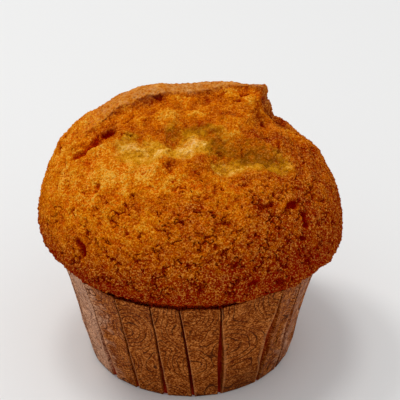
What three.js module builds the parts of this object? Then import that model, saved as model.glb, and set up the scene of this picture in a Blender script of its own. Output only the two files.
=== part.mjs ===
// A muffin baked in a pleated paper case, cracked open along the top.
// Millimetres, +Z up. The origin is the middle of the case's flat underside,
// -Y is the muffin's front and +X its right. Angles round the muffin start at
// the front and grow towards the right.

import * as THREE from 'three';

// Paper case: a 51 mm base with a wall 31 mm long up its slant
const BASE_RADIUS = 25.4;
const MOUTH_RADIUS = 32.2;
const SLANT = 31.4;
const CASE_HEIGHT = Math.sqrt(SLANT ** 2 - (MOUTH_RADIUS - BASE_RADIUS) ** 2);
const PAPER = 0.4;
const FOOT_CORNER = 0.4;
const FIT_GAP = 0.3;
const CASE_ROWS = 5;

// Rings that close a flat floor, from its middle out
const FLOOR_RINGS = [{ points: 3, radius: 3 }, { points: 12, radius: 12 }];

// Pleats: [angle at the mouth, angle at the base] in degrees for those in front,
// and evenly spread ones, a little out of step, behind
const FRONT_PLEATS = [
  [-69.6, -77], [-52, -55], [-35.6, -32.3], [-18.1, -13.3],
  [-4.5, 1.3], [14, 17.9], [44, 42.5], [56, 60],
];
const BACK_PLEATS = 12;
const PLEAT_WANDER = 2.6;
const PLEAT_DEPTH = { mouth: 0.7, base: 1.1 };
const PLEAT_HALF_WIDTH = { mouth: 0.3, base: 0.75 };
const FOLD_STAND = 0.2;
const PANEL_STEPS = 4;

// Where the case is pushed in, on its left and its right
const DENTS = [
  { angle: -88, spread: 60, height: 20, rise: 15, depth: 0.5 },
  { angle: 88, spread: 60, height: 17, rise: 15, depth: 0.6 },
];

// Cake: a rim that hangs over the case and a dome above it
const RIM = { left: 36.5, right: 37.2, front: 35.3 };
const RIM_HEIGHT = 36;
const RIM_TILT = 2.6;
const LIP = { radius: 34.1, height: 32.9 };
const LIP_RISE = { angle: 10, spread: 75, up: 0.8 };
const LIP_DROOP = { angle: 100, spread: 60, down: 1.3 };
const LIP_BOW = 1.6;
const DOME_TOP = 64;
const DOME_BOW = 2.05;
const DOME_LEAN = { x: -2.4, y: 2.5 };

// How finely the cake's skin is divided
const ROUND_STEPS = 120;
const UNDER_ROWS = 5;
const DOME_ROWS = 34;
const SKIN_STEP = 1.7;
const SETTLE_ROWS = 7;

// The crust's torn edge runs across the top from left to right in plan
const CREST = [[-30, -5.5], [-23, -0.5], [-15, 2], [-5, 3.6], [8, 6.4], [19, 7.8]];

// The end of the raised crust, on the right, as a line in plan: x*across + y*along = reach
const LID_END = { across: 0.95, along: -0.3, reach: 14.6 };

// Strokes that raise or sink the top round a path in plan, each with its reach to
// both sides and its lift. Some stop sharply at the raised crust's end or its torn edge.
const STROKES = [
  { path: [[-13, 8], [0, 10], [14, 12]], reach: 15, lift: 1.7 },
  { path: [[-15, 6], [-7, 9]], reach: 9, lift: 1.1 },
  { path: [[9, 10], [18, 11], [18, 17]], reach: 12, lift: 1.9, stops: withinLid },
  { path: [[13, 9], [18, 11], [18, 15]], reach: 8, lift: 1.7, stops: withinLid },
  { path: [[16, 8], [18, 11]], reach: 5, lift: 1.7, stops: withinLid },
  { path: CREST, reach: 5.5, lift: -1.5, stops: beforeCrest },
  { path: [[20, 14], [26, 11]], reach: 12, lift: -3, stops: beyondLid },
  { path: [[7, -3], [14, -5]], reach: 9, lift: 1.3 },
  { path: [[-14, -15], [-6, -13.5], [4, -11]], reach: 4.5, lift: -1.4 },
  { path: [[6, -17], [12, -15], [20, -12.5]], reach: 5, lift: -1.7 },
  { path: [[-4, -18], [2, -18]], reach: 5, lift: 0.8 },
  { path: [[-25, -7.2], [-21.5, -6.5]], reach: 3, lift: -1.4 },
  { path: [[-29.5, -1], [-28.5, 3]], reach: 2.6, lift: -1 },
];

// The relief is full at the dome's top and fades to none at this share of its height
const RELIEF_START = 0.375;

// Soft lumps of crumb where the top burst open
const LUMPS = { count: 60, seed: 11, reach: [2.6, 5], lift: 0.9 };
const BURST = { x: -1, y: -6, across: 22, along: 12 };

// Torn pits in the side of the crust: where each is, how wide and how deep
const PITS = [
  { at: [-24.5, -25.2, 43.4], reach: 2.6, depth: 1.2 },
  { at: [25.8, -20.2, 47.3], reach: 2.6, depth: 1.2 },
  { at: [25.8, -22.3, 44.6], reach: 2.2, depth: 0.9 },
  { at: [22.3, -20.3, 51], reach: 2.8, depth: 1.1 },
  { at: [-20.6, -18.3, 55.1], reach: 2.4, depth: 0.9 },
  { at: [-30.3, -10.3, 50.8], reach: 2.2, depth: 0.8 },
];

const DEGREE = Math.PI / 180;

// A seeded number from 0 to 1, the same on each run
function makeRandom(seed) {
  let state = seed;
  return () => {
    state = (state + 0x6d2b79f5) | 0;
    let t = Math.imul(state ^ (state >>> 15), 1 | state);
    t = (t + Math.imul(t ^ (t >>> 7), 61 | t)) ^ t;
    return ((t ^ (t >>> 14)) >>> 0) / 4294967296;
  };
}

function mix(from, to, share) {
  return from + (to - from) * share;
}

// 1 at distance 0, falling smoothly to 0 at distance 1
function falloff(distance) {
  const nearness = Math.max(0, 1 - Math.abs(distance));
  return nearness * nearness * (3 - 2 * nearness);
}

function angleBetween(a, b) {
  return THREE.MathUtils.euclideanModulo(a - b + Math.PI, 2 * Math.PI) - Math.PI;
}

// Angles evenly round a ring, from the first pleat on
function evenAngles(count) {
  const start = FRONT_PLEATS[0][0] * DEGREE;
  return Array.from({ length: count }, (_, i) => start + (2 * Math.PI * i) / count);
}

function around(angle, radius, height) {
  return new THREE.Vector3(radius * Math.sin(angle), -radius * Math.cos(angle), height);
}

// ---- Pleats ----

function makePleats() {
  const random = makeRandom(7);
  const pleats = FRONT_PLEATS.map(([mouth, base]) => ({ mouth, base }));
  const first = FRONT_PLEATS[0][0] + 360;
  const last = FRONT_PLEATS[FRONT_PLEATS.length - 1][0];
  const spacing = (first - last) / (BACK_PLEATS + 1);
  for (let i = 1; i <= BACK_PLEATS; i++) {
    const mouth = last + i * spacing + PLEAT_WANDER * (2 * random() - 1);
    pleats.push({ mouth, base: mouth + PLEAT_WANDER * (2 * random() - 1) });
  }
  return pleats;
}

const pleats = makePleats();

// The stations round the case at one share of its height: each pleat has its two
// edges and its bottom, and PANEL_STEPS - 1 stations lie between two pleats
function pleatStations(share) {
  const radius = mix(BASE_RADIUS, MOUTH_RADIUS, share);
  const half = mix(PLEAT_HALF_WIDTH.base, PLEAT_HALF_WIDTH.mouth, share) / radius;
  const depth = mix(PLEAT_DEPTH.base, PLEAT_DEPTH.mouth, share);
  const middles = pleats.map((pleat) => mix(pleat.base, pleat.mouth, share) * DEGREE);
  const stations = [];
  middles.forEach((middle, i) => {
    const next = i + 1 < middles.length ? middles[i + 1] : middles[0] + 2 * Math.PI;
    stations.push({ angle: middle - half, inset: 0 });
    stations.push({ angle: middle, inset: depth });
    stations.push({ angle: middle + half, inset: -FOLD_STAND });
    for (let k = 1; k < PANEL_STEPS; k++) {
      stations.push({ angle: mix(middle + half, next - half, k / PANEL_STEPS), inset: 0 });
    }
  });
  return stations;
}

function dentAt(angle, height) {
  return DENTS.reduce((depth, dent) => {
    const aside = angleBetween(angle, dent.angle * DEGREE) / (dent.spread * DEGREE);
    return depth + dent.depth * falloff(aside) * falloff((height - dent.height) / dent.rise);
  }, 0);
}

// One ring round the case's wall, set in by the given amount from its outside
function wallRing(height, inset) {
  const share = height / CASE_HEIGHT;
  const radius = mix(BASE_RADIUS, MOUTH_RADIUS, share);
  return pleatStations(share).map((station) => {
    const out = radius - station.inset - inset - dentAt(station.angle, height);
    return around(station.angle, out, height);
  });
}

// The ring where the wall turns into the floor
function footRing(height, inset) {
  return wallRing(0, inset).map((point) => point.setZ(height));
}

// ---- Closed skins ----

function floorRings(height) {
  return FLOOR_RINGS.map(({ points, radius }) => {
    return evenAngles(points).map((angle) => around(angle, radius, height));
  });
}

// Triangles between two rings that may have different numbers of points.
// Both start at about the same angle and run the same way round.
function zip(lower, upper, lowerStart, upperStart) {
  const triangles = [];
  let i = 0;
  let j = 0;
  while (i < lower.length || j < upper.length) {
    const low = lowerStart + (i % lower.length);
    const high = upperStart + (j % upper.length);
    const nextLow = (i + 1) / lower.length;
    const nextHigh = (j + 1) / upper.length;
    if (nextLow <= nextHigh) {
      triangles.push(low, lowerStart + ((i + 1) % lower.length), high);
      i++;
    } else {
      triangles.push(low, upperStart + ((j + 1) % upper.length), high);
      j++;
    }
  }
  return triangles;
}

function capTriangles(count, start, up) {
  const triangles = [];
  for (let i = 1; i < count - 1; i++) {
    triangles.push(start, start + (up ? i : i + 1), start + (up ? i + 1 : i));
  }
  return triangles;
}

// A closed solid whose skin runs through the rings, from the first, at the bottom,
// to the last, with a flat cap on each
function skin(rings) {
  const positions = [];
  const indices = [];
  let start = 0;
  rings.forEach((ring, k) => {
    ring.forEach((point) => positions.push(point.x, point.y, point.z));
    if (k > 0) {
      indices.push(...zip(rings[k - 1], ring, start - rings[k - 1].length, start));
    }
    start += ring.length;
  });
  const last = rings[rings.length - 1].length;
  indices.push(...capTriangles(rings[0].length, 0, false));
  indices.push(...capTriangles(last, start - last, true));
  const geometry = new THREE.BufferGeometry();
  geometry.setAttribute('position', new THREE.Float32BufferAttribute(positions, 3));
  geometry.setIndex(indices);
  return geometry;
}

// ---- Paper case ----

// The skin runs from the middle of the underside, up the outside of the wall,
// over its edge and down the inside to the middle of the floor
function caseGeometry() {
  const rings = [...floorRings(0), footRing(0, FOOT_CORNER)];
  for (let row = 0; row <= CASE_ROWS; row++) {
    rings.push(wallRing(mix(FOOT_CORNER, CASE_HEIGHT, row / CASE_ROWS), 0));
  }
  for (let row = CASE_ROWS; row >= 0; row--) {
    rings.push(wallRing(mix(FOOT_CORNER, CASE_HEIGHT, row / CASE_ROWS), PAPER));
  }
  rings.push(footRing(PAPER, FOOT_CORNER + PAPER));
  rings.push(...floorRings(PAPER).reverse());
  return skin(rings);
}

const caseMesh = new THREE.Mesh(
  caseGeometry(),
  new THREE.MeshStandardMaterial({ color: 0x7a4a2a, roughness: 0.6, metalness: 0 }),
);
caseMesh.name = 'paper_case';

// ---- Cake ----

function crestAt(x) {
  const next = Math.max(1, CREST.findIndex(([along]) => along >= x));
  const [x0, y0] = CREST[next - 1];
  const [x1, y1] = CREST[next];
  return mix(y0, y1, (x - x0) / (x1 - x0));
}

function beforeCrest(x, y) {
  const inside = THREE.MathUtils.clamp(x, CREST[0][0], CREST[CREST.length - 1][0]);
  return y < crestAt(inside);
}

function withinLid(x, y) {
  return x * LID_END.across + y * LID_END.along < LID_END.reach;
}

function beyondLid(x, y) {
  return !withinLid(x, y);
}

function distanceToPath(x, y, path) {
  let nearest = Infinity;
  for (let i = 0; i < path.length; i++) {
    const [x0, y0] = path[i];
    const [x1, y1] = path[Math.min(i + 1, path.length - 1)];
    const length2 = (x1 - x0) ** 2 + (y1 - y0) ** 2 || 1;
    const along = ((x - x0) * (x1 - x0) + (y - y0) * (y1 - y0)) / length2;
    const share = THREE.MathUtils.clamp(along, 0, 1);
    nearest = Math.min(nearest, Math.hypot(x - mix(x0, x1, share), y - mix(y0, y1, share)));
  }
  return nearest;
}

function makeLumps() {
  const random = makeRandom(LUMPS.seed);
  return Array.from({ length: LUMPS.count }, () => {
    const angle = 2 * Math.PI * random();
    const out = Math.sqrt(random());
    return {
      x: BURST.x + BURST.across * out * Math.cos(angle),
      y: BURST.y + BURST.along * out * Math.sin(angle),
      reach: mix(LUMPS.reach[0], LUMPS.reach[1], random()),
      lift: LUMPS.lift * (2 * random() - 1),
    };
  });
}

const lumps = makeLumps();

function reliefAt(x, y) {
  let lift = 0;
  STROKES.forEach((stroke) => {
    if (!stroke.stops || stroke.stops(x, y)) {
      lift += stroke.lift * falloff(distanceToPath(x, y, stroke.path) / stroke.reach);
    }
  });
  lumps.forEach((lump) => {
    lift += lump.lift * falloff(Math.hypot(x - lump.x, y - lump.y) / lump.reach);
  });
  return lift;
}

function pitDepth(point) {
  return PITS.reduce((depth, pit) => {
    const away = point.distanceTo(new THREE.Vector3(...pit.at)) / pit.reach;
    return depth + pit.depth * falloff(away);
  }, 0);
}

function rimRadius(angle) {
  const across = Math.sin(angle);
  const side = across > 0 ? RIM.right : RIM.left;
  return mix(RIM.front, side, across ** 2);
}

function rimHeight(angle) {
  return RIM_HEIGHT - RIM_TILT * Math.sin(angle);
}

function lipHeight(angle) {
  const fromRise = angleBetween(angle, LIP_RISE.angle * DEGREE) / (LIP_RISE.spread * DEGREE);
  const fromDroop = angleBetween(angle, LIP_DROOP.angle * DEGREE) / (LIP_DROOP.spread * DEGREE);
  return LIP.height + LIP_RISE.up * falloff(fromRise) - LIP_DROOP.down * falloff(fromDroop);
}

// The station's angle: like the pleats' where the cake sits in the case, even above
function cakeAngles(evenness, count = ROUND_STEPS) {
  const even = evenAngles(count);
  if (evenness >= 1) {
    return even;
  }
  return pleatStations(1).map((station, i) => mix(station.angle, even[i], evenness));
}

// Rings under the rim, from the lip out to the widest part
function underRing(row) {
  const turn = (row / UNDER_ROWS) * (Math.PI / 2);
  return cakeAngles(row / (UNDER_ROWS + SETTLE_ROWS)).map((angle) => {
    const out = Math.sin(turn) ** (2 / LIP_BOW);
    const down = Math.cos(turn) ** (2 / LIP_BOW);
    const radius = mix(LIP.radius, rimRadius(angle), out);
    const height = mix(rimHeight(angle), lipHeight(angle), down);
    return around(angle, radius, height);
  });
}

// Rings from the widest part up to the top
function domeRing(row) {
  const turn = (row / DOME_ROWS) * (Math.PI / 2);
  const inward = Math.cos(turn) ** (2 / DOME_BOW);
  const upward = Math.sin(turn) ** (2 / DOME_BOW);
  const girth = 2 * Math.PI * RIM.front * inward;
  const count = Math.min(ROUND_STEPS, Math.max(6, Math.round(girth / SKIN_STEP)));
  return cakeAngles((UNDER_ROWS + row) / (UNDER_ROWS + SETTLE_ROWS), count).map((angle) => {
    const low = rimHeight(angle);
    const point = around(angle, rimRadius(angle) * inward, mix(low, DOME_TOP, upward));
    point.x += DOME_LEAN.x * upward ** 3;
    point.y += DOME_LEAN.y * upward ** 3;
    const pit = pitDepth(point);
    point.z += reliefAt(point.x, point.y) * falloff((1 - upward) / (1 - RELIEF_START));
    point.x -= pit * Math.sin(angle);
    point.y += pit * Math.cos(angle);
    return point;
  });
}

// The skin runs from the floor of the case up its wall, out over the case's edge
// to the lip, round the rim and over the dome
function cakeGeometry() {
  const inset = PAPER + FIT_GAP;
  const rings = [...floorRings(inset), footRing(inset, FOOT_CORNER + inset)];
  for (let row = 0; row <= CASE_ROWS; row++) {
    rings.push(wallRing(mix(FOOT_CORNER, CASE_HEIGHT, row / CASE_ROWS), inset));
  }
  const edge = CASE_HEIGHT + FIT_GAP;
  rings.push(wallRing(CASE_HEIGHT, inset).map((point) => point.setZ(edge)));
  for (let row = 0; row <= UNDER_ROWS; row++) {
    rings.push(underRing(row));
  }
  for (let row = 1; row < DOME_ROWS; row++) {
    rings.push(domeRing(row));
  }
  return skin(rings);
}

const cakeMesh = new THREE.Mesh(
  cakeGeometry(),
  new THREE.MeshStandardMaterial({ color: 0xb4640f, roughness: 0.75, metalness: 0 }),
);
cakeMesh.name = 'cake';

const muffin = new THREE.Group();
muffin.add(cakeMesh, caseMesh);

export default muffin;
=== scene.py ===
"""A muffin baked in a pleated paper case, its dome burst open along the top.

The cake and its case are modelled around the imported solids, in their places and sizes.
Lengths are written in millimetres and turned to metres by MM. +Z is up, -Y is the
muffin's front and +X its right. Angles round the muffin start at the front and grow
towards the right.
"""

import math

import bmesh
import bpy
import numpy as np
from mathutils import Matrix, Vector


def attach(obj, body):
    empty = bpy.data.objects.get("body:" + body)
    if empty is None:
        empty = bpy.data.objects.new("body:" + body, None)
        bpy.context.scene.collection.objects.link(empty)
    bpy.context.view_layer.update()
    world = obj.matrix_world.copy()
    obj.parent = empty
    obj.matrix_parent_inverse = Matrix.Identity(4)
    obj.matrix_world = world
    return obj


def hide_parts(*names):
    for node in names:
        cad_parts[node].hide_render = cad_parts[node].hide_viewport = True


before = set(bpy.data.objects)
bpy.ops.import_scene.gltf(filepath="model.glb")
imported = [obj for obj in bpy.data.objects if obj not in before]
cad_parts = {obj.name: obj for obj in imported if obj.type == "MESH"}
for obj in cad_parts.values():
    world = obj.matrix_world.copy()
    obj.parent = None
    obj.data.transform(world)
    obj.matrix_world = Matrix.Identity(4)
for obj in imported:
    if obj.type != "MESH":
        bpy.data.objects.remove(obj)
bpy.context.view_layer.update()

MM = 0.001

# ---- Sizes ----

# Paper case
BASE_RADIUS = 25.4
MOUTH_RADIUS = 32.2
CASE_HEIGHT = 30.65
PAPER = 0.25

# Pleats, as their angles at the mouth and at the base: the front ones one by one,
# the rest spread round the back
FRONT_PLEATS = [
    (-66, -64), (-48.5, -46), (-32, -29.8), (-16.3, -13.8),
    (-4.5, 1.3), (12.2, 15.7), (41, 38.8), (53.2, 54.5),
]
BACK_PLEATS = {"count": 12, "wander": 1.6, "seed": 7}

# Each pleat is a narrow slit with a fold standing out on either side of it:
# half width and depth of the slit at the mouth and at the base
PLEAT_WIDTH = (0.19, 0.42)
PLEAT_DEPTH = (1.1, 1.9)

# Where the case is pushed in, on its left and its right
DENTS = [
    {"angle": -88, "spread": 60, "height": 20, "rise": 15, "depth": 0.5},
    {"angle": 88, "spread": 60, "height": 17, "rise": 15, "depth": 0.6},
]

# Pleats that gape, by their angle at the mouth: (how much wider, where up the wall)
WIDE_PLEATS = {
    -66: (1.5, 0.6), -48.5: (1.2, 0.2), -16.3: (0.4, 0.05), 12.2: (1.3, 0.42),
    41: (2.6, 0.5), 53.2: (1.6, 0.5),
}

# Cake: the rim, the lip under it and the dome above it. A band gives two distances from the
# middle, between which a change comes in
RIM = {"left": 36.5, "right": 37.2, "front": 35.3}
RIM_HEIGHT = 36.0
RIM_FORWARD = 0.12
RIM_TILT = 2.6
LIP_RADIUS = 34.1
LIP_HEIGHT = 32.5
LIP_BOW = 1.6
LIP_RISE = {"angle": -9, "spread": 40, "up": 0.8}
LIP_DROOP = {"angle": 88, "spread": 52, "down": 1.6}
LIP_BAND = (31.6, 33.4)
BELLY = {
    "angle": -70, "spread": 42, "height": 36, "rise": 3.5, "band": (32, 34), "out": 0.6,
}
DOME_TOP = 64.0
DOME_BOW = 2.05
DOME_LEAN = (-2.4, 2.5)
SKIN_INSET = 0.35
CAKE_CUT = 29.6

# The crust's torn edge runs across the top from left to right in plan
CREST = [(-30, -5.5), (-23, -0.5), (-15, 2.2), (-7, 4.4), (-1, 7.4), (8, 8.8), (19, 9.4)]

# The end of the raised crust, as a line in plan: x*across + y*along = reach
LID_END = {"across": 0.95, "along": -0.24, "reach": 14.5}


def falloff(distance):
    """1 at distance 0, falling smoothly to 0 at distance 1 and beyond."""
    near = np.clip(1 - np.abs(distance), 0, 1)
    return near * near * (3 - 2 * near)


def rise(value, low, high):
    """0 below low and 1 above high, smooth between."""
    share = np.clip((value - low) / (high - low), 0, 1)
    return share * share * (3 - 2 * share)


def mix(start, end, share):
    return start + (end - start) * share


def draws(seed):
    """A run of numbers from 0 to 1, the same each time."""
    state = seed
    while True:
        state = (state + 0x6D2B79F5) & 0xFFFFFFFF
        t = ((state ^ (state >> 15)) * (1 | state)) & 0xFFFFFFFF
        t = ((t + (((t ^ (t >> 7)) * (61 | t)) & 0xFFFFFFFF)) & 0xFFFFFFFF) ^ t
        yield ((t ^ (t >> 14)) & 0xFFFFFFFF) / 4294967296


def facing(turn, side):
    """1 where the muffin faces a side's own angle, falling to 0 at its spread."""
    return falloff((turn - side["angle"]) / side["spread"])


def crest_at(x):
    along, across = zip(*CREST)
    return np.interp(x, along, across)


def before_crest(x, y):
    return y < crest_at(x)


def lid_reach(x, y):
    """How far a point lies within the raised crust's right end."""
    return LID_END["reach"] - (x * LID_END["across"] + y * LID_END["along"])


def within_lid(x, y):
    return lid_reach(x, y) > 0


def beyond_lid(x, y):
    return lid_reach(x, y) <= 0


# The two hollows of the burst where the pale inside shows, in plan
CRUMB_LEFT = [(-14.2, -11), (-12.6, -12.6), (-9.5, -13.8), (-5, -13.6), (0, -12), (3.4, -9.8)]
CRUMB_GREEN = [(-2, -7.6), (3, -6.8), (7, -9)]
CRUMB_RIGHT = [(7.5, -14.8), (11.5, -12.8), (16, -10.6), (21, -9.8)]
# A hollow in the shadow of the bump above it, where a painted shadow darkens the inside
CRUMB_SHADOWED = [(6.5, -9), (11, -9.8), (17, -8)]

# Strokes that raise or sink the top round a path in plan:
# (path, reach, lift, and the side that the stroke keeps to, if any)
STROKES = [
    ([(-13, 8), (0, 10), (14, 12)], 15, 1.4),
    ([(-15, 6), (-7, 9)], 9, 1.1),
    ([(9, 10), (18, 11), (18, 17)], 12, 1.9, within_lid),
    ([(13, 9), (18, 11), (18, 15)], 8, 1.7, within_lid),
    ([(16, 8), (18, 11)], 5, 1.7, within_lid),
    (CREST[1:], 5.5, -0.9, before_crest),
    ([(-19, 0.0), (-9, 1.6)], 2.6, -0.3, before_crest),
    ([(20, 14), (24, 11)], 10, -2.4, beyond_lid),
    ([(23, 15), (29, 8)], 7, 1.4, beyond_lid),
    ([(-29, 3), (-26, 6.5)], 7, 1.5),
    ([(0, 12.5), (12, 11.5)], 5, 0.6),
    ([(20.6, 9), (21.4, 14)], 3.6, -1.6, beyond_lid),
    ([(17.4, 5.6), (19, 9)], 3.4, 1.2, beyond_lid),
    ([(7, -3), (14, -5)], 9, 1.3),
    (CRUMB_LEFT, 4.5, -1.2),
    (CRUMB_GREEN, 4.0, -0.8),
    (CRUMB_RIGHT, 5, -1.9),
    ([(7, -16.5), (9, -14.5)], 3, -0.6),
    ([(-5, -18.5), (2, -17.5)], 4.5, 1.2),
    (CRUMB_SHADOWED, 4, -0.8),
    ([(6, -11.5), (9, -11.5)], 3, -0.9),
    ([(-14, -7), (-8, -8)], 3.4, 0.9),
    ([(-26, -6.6), (-22, -5.2)], 2.6, -0.9),
    ([(-20.5, -6.2), (-17.5, -5)], 2.6, -0.7),
    ([(17.5, 3), (18.5, -4)], 2.8, -1.2),
    ([(25.5, 4), (26.5, -1)], 2.6, -1.0),
    ([(21.5, 1), (22.5, -8)], 3.2, 0.9),
    ([(-29.5, -1), (-28.5, 3)], 2.6, -1.0),
]

# Lumps strewn over the burst, within an oval round its middle
LUMPS = {"count": 90, "seed": 11, "reach": (2.2, 4.6), "lift": 1.0, "width": 0.6}
BURST = {"x": -1, "y": -6, "across": 22, "along": 12}

# Spots of the top that baked browner or, below 0, paler: (x, y, reach, how much)
BROWNED = [
    (-25, -12, 12, -0.14), (-8.7, -18.6, 4.5, -0.22), (-4.4, -18.6, 4.4, 0.22),
    (1, -19, 4, 0.12), (0, -27, 9, 0.12), (-21.2, -17.6, 2.4, 0.25), (1.2, -25.5, 3, 0.18),
    (19, -4, 6, 0.25), (9, -4, 6, 0.06), (-8.4, -5, 5, -0.06), (-16, 1, 5, -0.12),
    (25, 7, 7, -0.22), (16, 7, 5, -0.18), (-19.6, -9, 3, -0.12), (-9.5, 2.6, 2.4, 0.14),
    (-20, -3, 6, 0.16),
]

# Torn pits and crevices in the crust: (start, end, radius, depth)
CAKE_MIDDLE = (0, 0, 34)
PITS = [
    ((-25.2, -23.8, 43.4), (-24.4, -24.8, 42.8), 1.1, 1.4),
    ((-24.4, -24.8, 42.8), (-24.2, -25.4, 41.4), 1, 1.5),
    ((-20.4, -18.2, 54.9), (-21.2, -18.9, 54), 0.75, 0.9),
    ((-13.1, -31.5, 44.8), (-12.2, -32, 43.9), 0.8, 0.7),
    ((-18.9, -29, 44.1), (-18.6, -29.6, 43.1), 0.5, 0.8),
    ((-3.6, -23.2, 56.8), (-2.6, -23.8, 56.2), 0.7, 0.6),
    ((0.2, -25, 55.2), (1.4, -25.4, 54.8), 0.5, 0.7),
    ((-7.6, -29.5, 50.6), (-6.6, -29.9, 50.2), 0.5, 0.7),
    ((-10.6, -23, 56), (-9.6, -23.4, 55.6), 0.5, 0.6),
    ((-15.8, -24.4, 53), (-14.8, -25.2, 52.6), 0.5, 0.7),
    ((7.2, -28.2, 51.4), (8.6, -28, 51), 0.6, 0.9),
    ((5.7, -31.5, 47.6), (5.8, -32.2, 46.2), 0.55, 0.8),
    ((3.2, -33.3, 44.4), (4.8, -33.3, 44.3), 0.6, 0.8),
    ((15.4, -31.2, 41.4), (16.6, -30.8, 40.8), 0.5, 0.7),
    ((15.6, -23.4, 52.2), (18.6, -21.9, 52), 0.6, 1),
    ((22.4, -19.6, 50.4), (24, -18.6, 50.2), 1, 1.3),
    ((25.6, -19, 47.6), (26.4, -20.4, 45.4), 0.85, 1.4),
    ((25.4, -22.8, 43.6), (26, -22.4, 43.4), 0.7, 1.2),
    ((21.6, -25.4, 45.6), (22.2, -25.4, 44.6), 0.5, 0.9),
    ((19.2, -18.9, 53.4), (18.8, -19.8, 53), 0.5, 0.8),
    ((28.4, -12.6, 49.7), (28.8, -13.4, 48.7), 0.6, 0.9),
    ((-30.4, -9.9, 50.9), (-30.4, -10.9, 50), 0.6, 0.8),
    ((-28, -14.2, 51.8), (-28.2, -15, 51), 0.45, 0.7),
    ((-26.2, -6.6, 55.6), (-24.6, -6.8, 56.4), 1.1, 1.3),
    ((-24.2, -6.2, 56.8), (-22.2, -4.6, 58.4), 0.9, 1.4),
    ((-22, -4.4, 58.4), (-21.4, -3.2, 59), 0.8, 1.2),
    ((-19.8, -4.2, 59.4), (-17.4, -4.4, 60.6), 0.9, 1.2),
    ((-18.4, -1.6, 60.8), (-16.6, -1.2, 61.4), 0.5, 0.8),
    ((-15, -7.6, 61.5), (-13.4, -8.2, 61.8), 0.6, 0.8),
    ((-10, 1.4, 63.3), (-8.4, 1.8, 63.5), 0.6, 0.8),
    ((-14.9, -1.2, 61.4), (-13, -0.6, 62.5), 0.6, 0.9),
    ((-10.9, -4.6, 64), (-10.1, -4.4, 64.2), 0.5, 0.8),
    ((-5.8, 2.6, 64), (-4.8, 2.8, 64.2), 0.5, 0.7),
    ((3.4, 4.3, 63), (4.4, 4.3, 63), 0.5, 0.8),
    ((-7.8, 4, 64.2), (-6.4, 4.4, 64.2), 0.5, 0.9),
    ((-2, 5.4, 64.3), (-0.8, 6, 64.3), 0.4, 0.8),
    ((6.8, 7.6, 64.4), (8.6, 7.8, 64.4), 0.4, 0.9),
    ((12.2, 7.2, 64.5), (13.6, 7.2, 64.5), 0.5, 0.9),
    ((10.6, 5.4, 65), (12.6, 5.8, 65), 0.5, 0.9),
    ((7.2, -11.4, 60.7), (8.2, -12.2, 60.4), 0.8, 1.1),
    ((12.6, -9.6, 59.8), (13, -11.2, 59.4), 0.5, 0.8),
    ((18.4, 3.6, 60.5), (18.8, -1, 60), 0.5, 0.7),
    ((20.6, -4, 58.6), (21, -7, 57.6), 0.5, 0.8),
    ((25.4, 3.6, 56), (26.2, 0.4, 55.8), 0.6, 1),
]


# ---- Workshop ----


def clear_selection():
    bpy.ops.object.select_all(action="DESELECT")


def pick(piece):
    clear_selection()
    piece.select_set(True)
    bpy.context.view_layer.objects.active = piece


def take_new(name):
    """The primitive just added, with its own name and its place in its mesh."""
    piece = bpy.context.object
    piece.name = name
    piece.data.name = name
    bpy.ops.object.transform_apply(location=True, rotation=True, scale=True)
    return piece


def add_disc(name, height, radius, points, fill="NGON"):
    clear_selection()
    bpy.ops.mesh.primitive_circle_add(
        vertices=points, radius=radius * MM, fill_type=fill, location=(0, 0, height * MM))
    return take_new(name)


def edit(piece):
    pick(piece)
    bpy.ops.object.mode_set(mode="EDIT")
    bpy.ops.mesh.select_mode(type="VERT")


def leave_edit():
    bpy.ops.object.mode_set(mode="OBJECT")


def select_all():
    bpy.ops.mesh.select_all(action="SELECT")


def select_open_edges():
    bpy.ops.mesh.select_all(action="DESELECT")
    bpy.ops.mesh.select_non_manifold()


def face_outwards():
    select_all()
    bpy.ops.mesh.normals_make_consistent(inside=False)


def raise_wall(start, rows):
    """Extrudes the selected open edge from its start through rows: (height, radius)."""
    height, radius = start
    for height1, radius1 in rows:
        bpy.ops.mesh.extrude_edges_move(
            TRANSFORM_OT_translate={"value": (0, 0, (height1 - height) * MM)})
        bpy.ops.transform.resize(
            value=(radius1 / radius, radius1 / radius, 1),
            center_override=(0, 0, height1 * MM))
        height, radius = height1, radius1


def finish_with(piece, kind, **settings):
    """Adds a modifier with these settings and applies it."""
    modifier = piece.modifiers.new(kind.lower(), kind)
    for key, value in settings.items():
        setattr(modifier, key, value)
    pick(piece)
    bpy.ops.object.modifier_apply(modifier=modifier.name)


def give_finish(piece, material):
    piece.data.materials.clear()
    piece.data.materials.append(material)


def places_of(piece):
    """The piece's points, in millimetres."""
    places = np.empty(len(piece.data.vertices) * 3, np.float32)
    piece.data.vertices.foreach_get("co", places)
    return places.reshape(-1, 3).astype(float) / MM


def move_to(piece, places):
    piece.data.vertices.foreach_set("co", (places * MM).astype(np.float32).ravel())
    piece.data.update()


def paint(piece, name, values):
    """Keeps one number a point on the piece, for its modifiers and its material."""
    layer = piece.data.attributes.new(name, "FLOAT", "POINT")
    layer.data.foreach_set("value", np.asarray(values, np.float32))


def turn_of(x, y):
    """The angle round the muffin, in degrees: 0 at the front, more towards the right."""
    return np.degrees(np.arctan2(x, -y))


def distance_to_path(x, y, path):
    nearest = np.full(np.shape(x), np.inf)
    for (x0, y0), (x1, y1) in zip(path, path[1:]):
        length2 = (x1 - x0) ** 2 + (y1 - y0) ** 2 or 1.0
        share = np.clip(((x - x0) * (x1 - x0) + (y - y0) * (y1 - y0)) / length2, 0, 1)
        away = np.hypot(x - mix(x0, x1, share), y - mix(y0, y1, share))
        nearest = np.minimum(nearest, away)
    return nearest


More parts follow.
